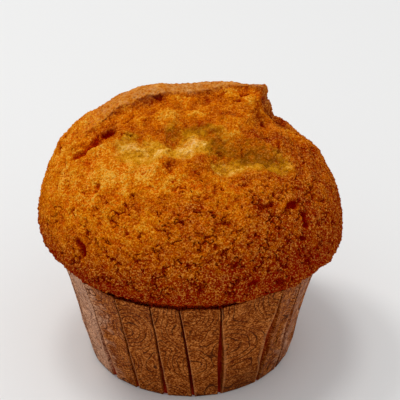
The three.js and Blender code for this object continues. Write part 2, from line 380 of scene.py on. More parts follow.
def distance_over_skin(places, start, end):
    """How far the skin's points lie from a short line on it, seen from the middle."""
    start, end = np.array(start) - CAKE_MIDDLE, np.array(end) - CAKE_MIDDLE
    far = np.linalg.norm(start)
    outward = places - CAKE_MIDDLE
    outward *= far / np.linalg.norm(outward, axis=1)[:, None]
    along = end * far / np.linalg.norm(end) - start
    share = np.clip((outward - start) @ along / (along @ along), 0, 1)
    return np.linalg.norm(outward - start - share[:, None] * along, axis=1)


# ---- Nodes ----

# Layers of noise are written as (size, low, high, detail, roughness), grains as (size,
# high, low), holes as (size, share, widest, depth), plain noise as (size, detail,
# roughness), what pushes a pattern about as (size, reach) and the end of a finish as
# (bump strength, bump reach, roughness, gloss). Noise mostly stays within the first of
# these spreads, and nearly always within the second
MOSTLY = (0.3, 0.7)
NEARLY = (0.25, 0.75)

# From the middle of a grain to the furrow round it, in cells
GRAIN_SPREAD = {"F1": (0.1, 0.7), "SMOOTH_F1": (0.1, 0.8)}
SMALLEST_HOLLOW = 0.02


class Nodes:
    """Adds nodes to a tree and joins their sockets. Sizes and places are in millimetres."""

    def __init__(self, tree):
        self.tree = tree

    def add(self, kind, inputs=None, **settings):
        node = self.tree.nodes.new(kind)
        for key, value in settings.items():
            setattr(node, key, value)
        for key, value in (inputs or {}).items():
            socket = node.inputs[key]
            if isinstance(value, bpy.types.NodeSocket):
                self.tree.links.new(value, socket)
            else:
                socket.default_value = value
        return node

    def kept(self, name):
        if self.tree.type == "SHADER":
            return self.add("ShaderNodeAttribute", attribute_name=name).outputs["Fac"]
        return self.add("GeometryNodeInputNamedAttribute", {"Name": name}).outputs["Attribute"]

    def place(self):
        if self.tree.type == "SHADER":
            return self.scaled(self.add("ShaderNodeTexCoord").outputs["Object"], 1 / MM)
        return self.scaled(self.add("GeometryNodeInputPosition").outputs[0], 1 / MM)

    def calc(self, operation, *values, clamp=False):
        return self.add(
            "ShaderNodeMath", dict(enumerate(values)),
            operation=operation, use_clamp=clamp).outputs[0]

    def chain(self, operation, values):
        result = values[0]
        for value in values[1:]:
            result = self.calc(operation, result, value)
        return result

    def total(self, *values):
        return self.chain("ADD", values)

    def product(self, *values):
        return self.chain("MULTIPLY", values)

    def highest(self, *values):
        return self.chain("MAXIMUM", values)

    def away_from(self, middle, value):
        return self.calc("ABSOLUTE", self.calc("SUBTRACT", value, middle))

    def vector(self, operation, *values):
        return self.add(
            "ShaderNodeVectorMath", dict(enumerate(values)), operation=operation).outputs[0]

    def scaled(self, vector, scale):
        return self.add(
            "ShaderNodeVectorMath", {0: vector, "Scale": scale}, operation="SCALE").outputs[0]

    def parts_of(self, vector):
        return self.add("ShaderNodeSeparateXYZ", {0: vector}).outputs

    def fit(self, value, low, high, to_low=0.0, to_high=1.0, smooth=False):
        """The value's range from low to high, turned into another range and cut off there."""
        return self.add("ShaderNodeMapRange", {
            "Value": value, "From Min": low, "From Max": high,
            "To Min": to_low, "To Max": to_high},
            interpolation_type="SMOOTHSTEP" if smooth else "LINEAR").outputs[0]

    def zoned(self, zone, outside, inside):
        """One number outside a painted zone and another inside it."""
        return self.fit(zone, 0, 1, outside, inside)

    def noise(self, place, size, detail=2.0, roughness=0.5, out=0):
        """Noise from 0 to 1 whose blotches are about this size."""
        return self.add("ShaderNodeTexNoise", {
            "Vector": place, "Scale": 1 / size, "Detail": detail,
            "Roughness": roughness}).outputs[out]

    def uneven(self, place, size, low=0.0, high=1.0, detail=2.0, roughness=0.5,
               spread=MOSTLY, smooth=False):
        """Noise that goes from low to high where it crosses its spread."""
        noise = self.noise(place, size, detail, roughness)
        return self.fit(noise, *spread, low, high, smooth)

    def warped(self, place, size, reach):
        """The place, pushed about by up to reach."""
        push = self.noise(place, size, out=1)
        centred = self.vector("SUBTRACT", push, (0.5, 0.5, 0.5))
        return self.vector("ADD", place, self.scaled(centred, 2 * reach))

    def cells(self, place, size, feature="F1", smoothness=None):
        """Distance from the nearest of points scattered this far apart, in that size."""
        node = self.add("ShaderNodeTexVoronoi", {
            "Vector": place, "Scale": 1 / size}, feature=feature)
        if smoothness is not None:
            node.inputs["Smoothness"].default_value = smoothness
        return node.outputs["Distance"]

    def grains(self, place, size, high, low, feature="F1"):
        """Rounded grains, high in their middles and low in the furrows between them."""
        return self.fit(self.cells(place, size, feature), *GRAIN_SPREAD[feature], high, low)

    def hollows(self, place, size, share, widest, depth):
        """Round hollows, in this share of cells of this size, up to widest of a cell."""
        colour = self.add("ShaderNodeTexVoronoi", {
            "Vector": place, "Scale": 1 / size}).outputs["Color"]
        draw = self.parts_of(colour)[0]
        width = self.fit(draw, 1 - share, 1, SMALLEST_HOLLOW, widest)
        out = self.calc("DIVIDE", self.cells(place, size), width)
        hollow = self.calc("SUBTRACT", 1.0, self.product(out, out), clamp=True)
        return self.product(hollow, depth)

    def ramp(self, value, shades):
        """Colours along a value: (value, colour), from low to high."""
        node = self.add("ShaderNodeValToRGB", {0: value})
        stops = node.color_ramp.elements
        while len(stops) < len(shades):
            stops.new(1.0)
        for stop, (at, shade) in zip(stops, shades):
            stop.position = at
            stop.color = (*shade, 1)
        return node.outputs[0]

    def blend(self, share, colour, other, way="MIX"):
        return self.add("ShaderNodeMix", {
            "Factor": share, 6: colour, 7: other},
            data_type="RGBA", blend_type=way).outputs[2]

    def end_finish(self, colour, height, strength, reach, roughness, gloss):
        """Ends a material with its colour, its fine bumps and its gloss."""
        bump = self.add("ShaderNodeBump", {
            "Height": height, "Strength": strength, "Distance": reach * MM})
        skin = self.add("ShaderNodeBsdfPrincipled", {
            "Base Color": colour, "Roughness": roughness, "Specular IOR Level": gloss,
            "Normal": bump.outputs[0]})
        self.add("ShaderNodeOutputMaterial", {"Surface": skin.outputs[0]})


def new_relief(name):
    group = bpy.data.node_groups.new(name, "GeometryNodeTree")
    for way in ("INPUT", "OUTPUT"):
        group.interface.new_socket("Geometry", in_out=way, socket_type="NodeSocketGeometry")
    return group, Nodes(group)


def new_finish(name):
    material = bpy.data.materials.new(name)
    material.use_nodes = True
    material.node_tree.nodes.clear()
    return material, Nodes(material.node_tree)


# ---- Cake ----

RING_POINTS = 160
DOME_ROWS = 40
UNDER_ROWS = 6
STROKE_VOXEL = 0.8
STROKE_WIDTH = 0.8
STROKES_ABOVE = 44
SKIN_VOXEL = 0.25
SKIN_TRIANGLES = 190000

# The skin inside the case's mouth, under the lip: (height, radius)
NECK = [(25.0, 29.0), (31.3, 30.7)]

# The plain sides below the dome, in their case: (height, radius)
TUB_FLOOR = (0.7, 22.0)
TUB_WALL = [(1.3, 22.6), (CAKE_CUT - 2.5, 29.3)]
TUB_INSET = 2
TUB_BAKE = 0.8


def dome_rings():
    """The rings of the cake's skin from inside the case's mouth up to the top:
    (centre x, centre y, height, radius across, radius along, tilt)."""
    across = (RIM["left"] + RIM["right"]) / 2 - SKIN_INSET
    along = RIM["front"] - SKIN_INSET
    shift = (RIM["right"] - RIM["left"]) / 2
    rings = [(0, 0, height, radius, radius, 0) for height, radius in NECK]
    for row in range(UNDER_ROWS + 1):
        turn = row / UNDER_ROWS * math.pi / 2
        out = math.sin(turn) ** (2 / LIP_BOW)
        down = math.cos(turn) ** (2 / LIP_BOW) if row < UNDER_ROWS else 0
        wide = mix(LIP_RADIUS, across, out)
        deep = mix(LIP_RADIUS, along, out)
        height = mix(RIM_HEIGHT, LIP_HEIGHT, down)
        rings.append((
            shift * out, -RIM_FORWARD * out, height, wide, deep,
            RIM_TILT * (1 - down) / wide))
    for row in range(1, DOME_ROWS):
        turn = row / DOME_ROWS * math.pi / 2
        inward = math.cos(turn) ** (2 / DOME_BOW)
        upward = math.sin(turn) ** (2 / DOME_BOW)
        rings.append((
            shift * inward + DOME_LEAN[0] * upward**3,
            DOME_LEAN[1] * upward**3 - RIM_FORWARD * inward,
            mix(RIM_HEIGHT, DOME_TOP - SKIN_INSET, upward),
            across * inward,
            along * inward,
            RIM_TILT * (1 - upward) / (across * inward),
        ))
    return rings


def lay_rings(name, rings):
    """A closed skin, drawn up ring by ring from a disc."""
    x, y, height, wide, deep, tilt = rings[0]
    piece = add_disc(name, height, wide, RING_POINTS)
    edit(piece)
    select_all()
    for x1, y1, height1, wide1, deep1, tilt1 in rings[1:]:
        bpy.ops.mesh.extrude_region_move(TRANSFORM_OT_translate={
            "value": ((x1 - x) * MM, (y1 - y) * MM, (height1 - height) * MM)})
        centre = (x1 * MM, y1 * MM, height1 * MM)
        bpy.ops.transform.resize(
            value=(wide1 / wide, deep1 / deep, 1), center_override=centre)
        if tilt1 != tilt:
            bpy.ops.transform.rotate(
                value=-(math.atan(tilt1) - math.atan(tilt)), orient_axis="Y",
                center_override=centre)
        x, y, height, wide, deep, tilt = x1, y1, height1, wide1, deep1, tilt1
    face_outwards()
    leave_edit()
    return piece


class Shaping:
    """Pulls on a piece's skin in edit mode, each with a soft reach."""

    def __init__(self, piece):
        edit(piece)
        bpy.ops.mesh.select_all(action="DESELECT")
        self.piece = piece
        self.mesh = bmesh.from_edit_mesh(piece.data)
        self.mesh.verts.ensure_lookup_table()
        self.places = np.array([v.co for v in self.mesh.verts]) / MM
        self.upper = self.places[:, 2] > STROKES_ABOVE

    def stroke(self, path, reach, lift, side=None, width=STROKE_WIDTH):
        """Raises or sinks the upper skin along a path. With a side, the skin on the other
        side of the edge is held back."""
        x, y = self.places[:, 0], self.places[:, 1]
        held = ~side(x, y) if side else np.zeros(len(x), bool)
        chosen = self.upper & (distance_to_path(x, y, path) < width) & ~held
        for i in np.flatnonzero(held):
            self.mesh.verts[i].hide_set(True)
        for i in np.flatnonzero(chosen):
            self.mesh.verts[i].select_set(True)
        bmesh.update_edit_mesh(self.piece.data, loop_triangles=False, destructive=False)
        bpy.ops.transform.translate(
            value=(0, 0, lift * MM), use_proportional_edit=True,
            proportional_edit_falloff="SMOOTH", proportional_size=(reach - width / 2) * MM)
        bpy.ops.mesh.select_all(action="DESELECT")
        if side:
            bpy.ops.mesh.reveal(select=False)


def shape_top(piece):
    """Raises the torn crust and sinks the burst, then scatters lumps over the burst."""
    shaping = Shaping(piece)
    for path, reach, lift, *side in STROKES:
        shaping.stroke(path, reach, lift, *side)
    draw = draws(LUMPS["seed"])
    for _ in range(LUMPS["count"]):
        angle = 2 * math.pi * next(draw)
        out = math.sqrt(next(draw))
        place = (BURST["x"] + BURST["across"] * out * math.cos(angle),
                 BURST["y"] + BURST["along"] * out * math.sin(angle))
        reach = mix(*LUMPS["reach"], next(draw))
        lift = LUMPS["lift"] * (2 * next(draw) - 1)
        shaping.stroke([place, place], reach, lift, width=LUMPS["width"])
    leave_edit()


def lip_share(z):
    """1 at the lip's lower edge, falling to 0 just above the rim."""
    return 1 - rise(z, LIP_HEIGHT, RIM_HEIGHT + 1)


def settle_lip(piece):
    """Lifts the lip a little at the front, lets it hang at the right and lets the
    rim bulge at the left."""
    places = places_of(piece)
    x, y, z = places.T
    turn = turn_of(x, y)
    shift = LIP_RISE["up"] * facing(turn, LIP_RISE)
    shift -= LIP_DROOP["down"] * facing(turn, LIP_DROOP)
    places[:, 2] += shift * (lip_share(z) * rise(np.hypot(x, y), *LIP_BAND))
    full = facing(turn, BELLY)
    full *= (falloff((z - BELLY["height"]) / BELLY["rise"])
             * rise(np.hypot(x, y), *BELLY["band"]))
    places[:, :2] *= (1 + BELLY["out"] * full / np.hypot(x, y))[:, None]
    move_to(piece, places)


def voxel_skin(piece, size):
    pick(piece)
    piece.data.remesh_voxel_size = size * MM
    piece.data.use_remesh_fix_poles = False
    bpy.ops.object.voxel_remesh()


def cut_into_triangles(piece):
    edit(piece)
    select_all()
    bpy.ops.mesh.quads_convert_to_tris()
    leave_edit()


def open_below(piece, height):
    """Cuts away all of the piece under this height and leaves its edge open."""
    edit(piece)
    select_all()
    bpy.ops.mesh.bisect(
        plane_co=(0, 0, height * MM), plane_no=(0, 0, 1), clear_inner=True)
    leave_edit()


def add_tub(piece):
    """The plain part of the cake that sits in its case, joined to the dome's edge."""
    tub = add_disc("tub", *TUB_FLOOR, RING_POINTS)
    edit(tub)
    select_all()
    bpy.ops.mesh.inset(thickness=TUB_INSET * MM)
    select_open_edges()
    raise_wall(TUB_FLOOR, TUB_WALL)
    leave_edit()
    paint(tub, "bake", np.full(len(tub.data.vertices), TUB_BAKE))
    pick(piece)
    tub.select_set(True)
    bpy.ops.object.join()
    edit(piece)
    select_open_edges()
    bpy.ops.mesh.bridge_edge_loops()
    face_outwards()
    leave_edit()


# Heights, radii and places between which the zones of the skin come in
CROWN = (46, 54)
SIDE = (34, 42)
PALING = (34, 52)
BROWN_RIM = (33, 41)
LIP_PALING = {"height": (31.6, 33.4), "angle": 80, "spread": 50}
# Where a red glow is painted under the lip
UNDER_GLOW_ZONE = {"band": (32.4, 33.8), "height": (33, 34.5)}
LOOSE = (CAKE_CUT + 0.2, CAKE_CUT + 2.5)

# How far the burst and the torn edge reach round their middles, and where they begin
BURST_REACH = {"across": 30, "front": 17, "back": 26, "past_crest": 1.5}
TORN = {"overhang": (-0.2, 0.4), "reach": 4.5, "left_end": (-25, -18)}
SEAM = {"behind": -0.4, "reach": 0.9, "left_end": (-19, -14), "right_end": (-14, -2)}
LID = {"crest": (-0.3, 1.0), "right_end": (-1, 2.5), "left_end": (-28, -16)}
LID_END_BAND = {"reach": 3, "crest": (-2, 2)}

# Where the inside shows: (path, reach, how clearly), for left, green, right and the one in
# painted shadow
HOLLOWS = [(CRUMB_LEFT, 5.2, 1.0), (CRUMB_GREEN, 5, 0.8), (CRUMB_RIGHT, 4.8, 1.0),
           (CRUMB_SHADOWED, 4, 0.5)]
# How much creamier the inside is in each zone; in the shadowed hollow it is darker, a painted
# shadow of the bump above it
CREAM = {"hollows": 0.10, "elsewhere": -0.06, "painted_shadow": -0.26, "green": 0.10,
         "far_right": 0.14, "far_right_from": (9, 13)}

# How far the crust is baked, 0 raw and 1 well browned, and what changes that. The torn edge is
# made paler as painted light, and the seam is browner partly as painted shade
BAKE = {
    "rim": 1.0, "crown": 0.60, "burst": 0.49, "burst_by_x": -0.003, "by_x": 0.0075,
    "right_flank": -0.12, "front_streak": -0.24, "lip": -0.12, "torn": -0.16,
    "seam": 0.16, "brown_rim": 0.12, "lid_end": 0.15,
}
BAKE_X = (-32, 26)
RIGHT_FLANK = (28, 34)
BURST_FRONT = (-22, -14)
FRONT_STREAK = [(-20, -15), (-6, -20), (8, -23)]
FRONT_STREAK_REACH = 7

# A pit keeps its depth to this much under its radius, and is gone as much over it
PIT_EDGE = 0.5


def paint_zones(piece):
    """How the skin differs from place to place: how far it is baked, where it is burst
    or torn, where the inside shows and where the smooth raised crust lies."""
    places = places_of(piece)
    x, y, z = places.T
    out = np.hypot(x, y)
    top = rise(z, *CROWN)
    behind = y - crest_at(x)

    along = np.where(y < BURST["y"], BURST_REACH["front"], BURST_REACH["back"])
    burst = top * falloff(np.hypot(
        (x - BURST["x"]) / BURST_REACH["across"], (y - BURST["y"]) / along)) ** 0.5
    burst = np.where(behind < 0, burst, burst * falloff(behind / BURST_REACH["past_crest"]))
    lid = (top * rise(behind, *LID["crest"]) * rise(lid_reach(x, y), *LID["right_end"])
           * rise(x, *LID["left_end"]))
    torn = (top * rise(-behind, *TORN["overhang"]) * falloff(behind / TORN["reach"])
            * rise(x, *TORN["left_end"]))
    lid_end = (top * falloff(lid_reach(x, y) / LID_END_BAND["reach"])
               * rise(behind, *LID_END_BAND["crest"]))

    near = [falloff(distance_to_path(x, y, path) / reach) for path, reach, _ in HOLLOWS]
    clear = [share * hollow for hollow, (_, _, share) in zip(near, HOLLOWS)]
    left, green, right, painted_shadow = near
    cream = (CREAM["hollows"] * np.maximum(left, right) + CREAM["elsewhere"]
             + CREAM["painted_shadow"] * painted_shadow)
    cream -= (CREAM["far_right"] * right * rise(x, *CREAM["far_right_from"])
              + CREAM["green"] * green * (1 - left))

    bake = mix(BAKE["rim"], BAKE["crown"], rise(z, *PALING))
    bake += (BAKE["by_x"] * np.clip(x, *BAKE_X) * rise(z, *SIDE)
             + BAKE["right_flank"] * rise(x, *RIGHT_FLANK))
    bake = mix(bake, BAKE["burst"] + BAKE["burst_by_x"] * x, burst * rise(y, *BURST_FRONT))
    bake += (BAKE["front_streak"] * top
             * falloff(distance_to_path(x, y, FRONT_STREAK) / FRONT_STREAK_REACH))
    for px, py, reach, browner in BROWNED:
        bake += browner * top * falloff(np.hypot(x - px, y - py) / reach)
    bake += (BAKE["lip"] * (1 - rise(z, *LIP_PALING["height"]))
             * facing(turn_of(x, y), LIP_PALING))
    # Painted light: the torn edge is painted paler, where its slope faces away from the lamps
    bake += BAKE["torn"] * torn
    # The seam under the raised crust is browner: a toasted edge with painted shade beneath it
    bake += (BAKE["seam"] * top * falloff((behind - SEAM["behind"]) / SEAM["reach"])
             * rise(x, *SEAM["left_end"]) * rise(-x, *SEAM["right_end"]))
    bake += BAKE["brown_rim"] * (1 - rise(z, *BROWN_RIM))
    bake += BAKE["lid_end"] * lid_end

    pit = np.zeros(len(x))
    for start, end, radius, depth in PITS:
        away = distance_over_skin(places, start, end) / radius
        pit = np.maximum(pit, depth * np.clip(1 + PIT_EDGE - away, 0, 1))
    zones = {
        "burst": burst, "lid": lid, "crumb": top * np.max(clear, axis=0), "cream": cream,
        "bake": bake, "torn": np.maximum(torn, lid_end), "pit": pit,
        "loose": rise(z, *LOOSE), "edge": lip_share(z),
        "under_glow": (1 - rise(out, *UNDER_GLOW_ZONE["band"])) * (1 - rise(z, *UNDER_GLOW_ZONE["height"])),
    }
    for name, values in zones.items():
        paint(piece, name, values)


# The crust's relief: the size of each form and how far it moves the skin
STIR = (1.7, 0.9)
SWELLS = (8, -0.4, 0.25, 1)
KNOBS = (2.6, -0.2, 0.2)
CLODS = (4.6, 0.6, -0.75, "SMOOTH_F1")
CLUMPS = (2.2, 0.22, -0.28, "SMOOTH_F1")
CRUMBS = (1.1, 0.08, -0.12)
CRUMB_STIR = (0.9, 0.4)
GRAIN = (0.95, 0.13, -0.2)
GRAIN_STIR = (0.8, 0.25)
RAGGED_LIP = (1.6, -0.35, 0.35, 3, 0.6)

# What sinks into it: its size and how deep it goes. A layer may end with its own spread
# and whether its edges are smooth
HOLES = (3.4, 0.3, 0.22, 0.8)
TORN_HOLES = (1.7, 0, 0.8, 3, 0.6, (0.6, 0.7), True)
CREVICES = {"size": 1.9, "width": 0.055, "depth": 0.75}
CREVICE_PATCHES = {"size": 3, "by_bake": 0.2, "spread": (0.59, 0.68)}
PIT_RIM = (1.1, -0.7, 0.5, 3, 0.65)
PIT_SPREAD = (0.3, 1)
PIT_DEPTH = 0.8


def relief_nodes():
    """Displaces the skin into lumps, grains, pits and crevices, and keeps their depth."""
    group, n = new_relief("crust_relief")
    place = n.place()
    burst, lid, torn, crumb, bake, pit = map(
        n.kept, ("burst", "lid", "torn", "crumb", "bake", "pit"))
    broken = n.highest(burst, torn, crumb)
    plain = n.calc("SUBTRACT", 1.0, n.highest(broken, lid), clamp=True)
    stirred = n.warped(place, *STIR)

    swells = n.uneven(place, *SWELLS, spread=NEARLY)
    knobs = n.product(
        n.uneven(place, *KNOBS, spread=NEARLY), n.zoned(broken, 0.9, 1.4),
        n.zoned(lid, 1, 0.7))
    clods = n.product(n.total(
        n.grains(stirred, *CLODS), n.grains(stirred, *CLUMPS),
        n.grains(n.warped(place, *CRUMB_STIR), *CRUMBS)), broken)
    grain = n.product(
        n.grains(n.warped(place, *GRAIN_STIR), *GRAIN), n.zoned(lid, 1, 0.7))

    # Torn holes are deepest in well baked crust, and few where it is baked hardest
    torn_holes = n.product(
        n.uneven(stirred, *TORN_HOLES),
        n.fit(bake, 0.5, 0.75, 0.35, 0.7), n.fit(bake, 0.88, 1.02, 1, 0.2))
    holes = n.product(
        n.highest(n.hollows(stirred, *HOLES), torn_holes),
        n.zoned(lid, 1, 0.35), n.zoned(burst, 1, 0.5))

    # Crevices wander where a soft noise crosses its middle, and come and go in patches
    wander = n.away_from(0.5, n.noise(stirred, CREVICES["size"], 1))
    wander = n.fit(wander, 0, CREVICES["width"], CREVICES["depth"], 0, smooth=True)
    patches = n.total(
        n.noise(place, CREVICE_PATCHES["size"]),
        n.product(bake, CREVICE_PATCHES["by_bake"]), n.fit(bake, 0.9, 1.05, -0.05, -0.12))
    patches = n.fit(patches, *CREVICE_PATCHES["spread"], smooth=True)
    crevices = n.product(wander, patches, plain)
    pits = n.product(n.fit(
        n.total(pit, n.uneven(place, *PIT_RIM)), *PIT_SPREAD, 0, PIT_DEPTH, smooth=True), pit)

    depth = n.highest(holes, crevices, pits)
    fine = n.calc("SUBTRACT", n.total(grain, clods), depth)
    ragged = n.product(n.uneven(place, *RAGGED_LIP), n.kept("edge"))
    height = n.product(n.total(swells, knobs, fine, ragged), n.kept("loose"), MM)
    geometry = n.add("NodeGroupInput").outputs[0]
    for name, value in (("depth", depth), ("fine", n.total(grain, clods, knobs))):
        geometry = n.add("GeometryNodeStoreNamedAttribute", {
            "Geometry": geometry, "Name": name, "Value": value},
            data_type="FLOAT", domain="POINT").outputs[0]
    normal = n.add("GeometryNodeInputNormal").outputs[0]
    geometry = n.add("GeometryNodeSetPosition", {
        "Geometry": geometry, "Offset": n.scaled(normal, height)}).outputs[0]
    n.add("NodeGroupOutput", {0: geometry})
    return group


# Browning of the crust: how much each mark adds, and its size
DOME_SPREAD = (40, 56)
BLOTCHES = (4.5, -0.14, 0.14, 3, 0.6)
SMALL_BLOTCHES = (1.7, -0.08, 0.08)
SPECKS = (0.36, 0.2, -0.2, 1, 0.5, (0.4, 0.6))
CURLS = {"size": 0.9, "width": 0.08, "line": -0.14, "between": 0.08}
ARC_RINGS = {"size": 1.6, "radius": 0.36, "spread": (0.02, 0.09)}
ARC_STIR = (0.9, 0.3)
ARC_PATCHES = (1.3, 0, 1, 1, 0.5, (0.48, 0.56), True)
ARC_PALING = -0.16
PORES = {"size": 1.1, "spread": (0.14, 0.3), "brown": 0.55}
PORE_STIR = (0.8, 0.35)
PORE_PATCHES = (2.2, 0, 0.4, 2, 0.5, (0.54, 0.66), True)
# Painted shade: the crust is browner deep in its holes and where its grains lie low, and paler
# where they stand up
HOLE_SHADE = 0.52
GRAIN_SHADE = -0.42
BROWN_SHIFT = -0.05
DARKEST_BROWNING = 1.3

CRUST_SHADES = [
    (0, (0.88, 0.42, 0.05)), (0.15, (0.79, 0.275, 0.006)), (0.31, (0.67, 0.168, 0.0013)),
    (0.46, (0.545, 0.122, 0.0008)), (0.6, (0.41, 0.078, 0.0005)),
    (0.75, (0.31, 0.036, 0.0003)), (0.87, (0.26, 0.013, 0.0002)),
    (1, (0.23, 0.005, 0.0002)),
]
PAINTED_SHADE_TINT = (1, 0.3, 0.2, 1)
FULL_SHADE_AT = 0.6

# The pale inside, olive in its hollows and cream where it stands up: partly its own tone,
# partly painted shade and painted light
OPEN_GRAIN = (0.6, 3, 0.65)
OPEN_PATCHES = (2.2, 2)
INSIDE_SHADES = [
    (0.2, (0.3, 0.09, 0.001)), (0.36, (0.49, 0.178, 0.002)), (0.48, (0.71, 0.295, 0.007)),
    (0.58, (0.84, 0.42, 0.05)), (0.72, (0.98, 0.6, 0.2)),
]
INSIDE_EDGE = (2.4, -0.5, 0.5, 3, 0.6)

# The raised crust carries dust and a painted sheen, and painted glints and a painted red glow
# under the lip finish the rest
DUST_AND_SHEEN_GRAIN = (0.9, 3, 0.65)
DUST_AND_SHEEN_SHADES = [
    (0.34, (0.48, 0.1, 0.003)), (0.46, (0.6, 0.22, 0.03)), (0.54, (0.67, 0.285, 0.065)),
    (0.66, (0.8, 0.39, 0.13)),
]
DUST_AND_SHEEN_PATCHES = (3, 0.45, 0.95, 2, 0.6)
DUST_AND_SHEEN_LEFT = (-20, -8)
PAINTED_GLINTS = (0.36, 0, 0.62, 1, 0.5, (0.58, 0.66), True)
GLINT_COLOUR = (0.8, 0.325, 0.065, 1)
UNDER_GLOW_PATCHES = (1.5, 0.15, 1, 2, 0.6, (0.42, 0.56))
UNDER_GLOW_COLOUR = (0.56, 0.032, 0.001, 1)
CRUST_END = (1, 0.45, 0.5, 0)


def crust_material():
    material, n = new_finish("crust")
    place = n.place()
    lid, fine, burst, bake, depth, crumb = map(
        n.kept, ("lid", "fine", "burst", "bake", "depth", "crumb"))
    across, _, up = n.parts_of(place)

    # Broad blotches high up on the dome and finer, crisper specks low down
    high = n.fit(up, *DOME_SPREAD)
    blotch = n.product(
        n.total(n.uneven(place, *BLOTCHES), n.uneven(place, *SMALL_BLOTCHES)),
        n.zoned(high, 0.7, 1.8), n.zoned(burst, 1, 0.75))
    speck = n.product(
        n.uneven(place, *SPECKS), n.zoned(high, 1, 0.8), n.zoned(burst, 1, 0.75))

    # Curled crumbs: pale arcs, where rings round scattered points come and go
    arcs = n.away_from(ARC_RINGS["radius"], n.cells(
        n.warped(place, *ARC_STIR), ARC_RINGS["size"]))
    arcs = n.product(
        n.fit(arcs, *ARC_RINGS["spread"], 1, 0, smooth=True), n.uneven(place, *ARC_PATCHES))
    curls = n.away_from(0.5, n.noise(place, CURLS["size"], 1))
    curls = n.total(
        n.fit(curls, 0, CURLS["width"], CURLS["line"], CURLS["between"]),
        n.product(arcs, ARC_PALING))
    pores = n.cells(n.warped(place, *PORE_STIR), PORES["size"])
    pores = n.product(
        n.fit(pores, *PORES["spread"], PORES["brown"], 0, smooth=True),
        n.uneven(place, *PORE_PATCHES), n.zoned(lid, 1, 0.25))
    browning = n.total(
        bake, blotch, speck, curls, pores, n.product(depth, HOLE_SHADE),
        n.product(fine, GRAIN_SHADE), BROWN_SHIFT)
    colour = n.ramp(n.calc("DIVIDE", browning, DARKEST_BROWNING), CRUST_SHADES)

    # Painted shade: whatever lies low, in holes, pores and between the grains, is tinted redder
    # and darker
    low = n.total(
        n.product(depth, 0.6), n.product(speck, 0.6), n.product(burst, 0.06),
        n.product(fine, n.fit(burst, 0, 0.6, -0.8, -0.16)), pores)
    colour = n.blend(n.fit(low, 0, FULL_SHADE_AT), colour, PAINTED_SHADE_TINT, "MULTIPLY")

    # The inside's tone wanders at random, with painted light where its grain stands up and a
    # painted shadow in one hollow
    open_grain = n.total(
        n.product(n.noise(place, *OPEN_GRAIN), 0.5),
        n.product(n.noise(place, *OPEN_PATCHES), 0.5), n.product(fine, 0.2), n.kept("cream"))
    ragged = n.product(n.uneven(place, *INSIDE_EDGE), n.fit(crumb, 0, 0.3))
    shows = n.fit(n.total(crumb, ragged), 0.1, 0.9, 0, 0.95)
    colour = n.blend(shows, colour, n.ramp(open_grain, INSIDE_SHADES))

    # Dust and a painted sheen make the raised crust tan, less so on its left
    dust_and_sheen = n.ramp(n.noise(place, *DUST_AND_SHEEN_GRAIN), DUST_AND_SHEEN_SHADES)
    dust_and_sheen_share = n.product(
        lid, n.uneven(place, *DUST_AND_SHEEN_PATCHES), n.fit(across, *DUST_AND_SHEEN_LEFT, 0.65, 1))
    colour = n.blend(dust_and_sheen_share, colour, dust_and_sheen)

    # Painted glints: highlights painted on crust that is baked enough, and on the pale arcs,
    # but not down in the holes
    glints = n.product(
        n.highest(n.uneven(place, *PAINTED_GLINTS), n.product(arcs, 0.25)),
        n.fit(bake, 0.45, 0.8, 0.3, 1), n.fit(depth, 0, 0.3, 1, 0),
        n.fit(bake, 0.95, 1.2, 1, 0.45))
    colour = n.blend(glints, colour, GLINT_COLOUR)
    # Painted glow: the shadowed underside of the lip is painted a brighter red, in clumps
    under_glow = n.product(n.kept("under_glow"), n.uneven(place, *UNDER_GLOW_PATCHES))
    colour = n.blend(under_glow, colour, UNDER_GLOW_COLOUR)

    bumps = n.total(
        n.noise(place, 0.5, 3, 0.65), n.product(n.cells(place, 0.7), 0.8),
        n.product(pores, -0.8))
    n.end_finish(colour, bumps, *CRUST_END)
    return material


def make_cake():
    cake = lay_rings("muffin_cake", dome_rings())
    voxel_skin(cake, STROKE_VOXEL)
    shape_top(cake)
    voxel_skin(cake, SKIN_VOXEL)
    finish_with(cake, "SMOOTH", factor=0.5, iterations=3)
    settle_lip(cake)
    paint_zones(cake)
    finish_with(cake, "NODES", node_group=relief_nodes())
    cut_into_triangles(cake)
    finish_with(cake, "DECIMATE", ratio=SKIN_TRIANGLES / len(cake.data.polygons))
    open_below(cake, CAKE_CUT)
    add_tub(cake)
    bpy.ops.object.shade_smooth()
    give_finish(cake, crust_material())
    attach(cake, "root")
    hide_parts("cake")


make_cake()

# ---- Paper case ----

# Across a pleat from left to right: (way in half widths, share of the slit's depth,
# share of the folds' stand)
PLEAT_SECTION = [
    (-4.2, 0, 0), (-3, 0, 0.3), (-1.7, 0, 1), (-1.1, 0, 1), (-0.85, 0.4, 0),
    (-0.5, 0.9, 0), (0, 1, 0), (0.5, 0.9, 0), (0.85, 0.4, 0), (1.1, 0, 1), (1.7, 0, 1),
    (3, 0, 0.3), (4.2, 0, 0),
]
PANEL_STEPS = 12
CASE_ROWS = 26
FOLD_STAND = 0.35

# Pleats begin shallow at the base: the share they start with, and how far up the wall
# the slits and the folds are full
PLEAT_START = 0.3
SLIT_FULL = 0.12
FOLD_FULL = 0.2
GAPE_REACH = 0.5

# How flat the panels between the pleats are, at the base and at the mouth
FLATNESS = (0.25, 0.6)

# The case's floor and its turn up into the wall: (height, radius)
FLOOR_EDGE = (0.0, 24.7)
FOOT_CURVE = (0.12, 25.25)
WALL_FOOT = 0.45
SMOOTH_BELOW = math.radians(50)

# For telling the rings of the plain case apart, in millimetres
SAME_HEIGHT = 0.02
FLOOR_MIDDLE = 1

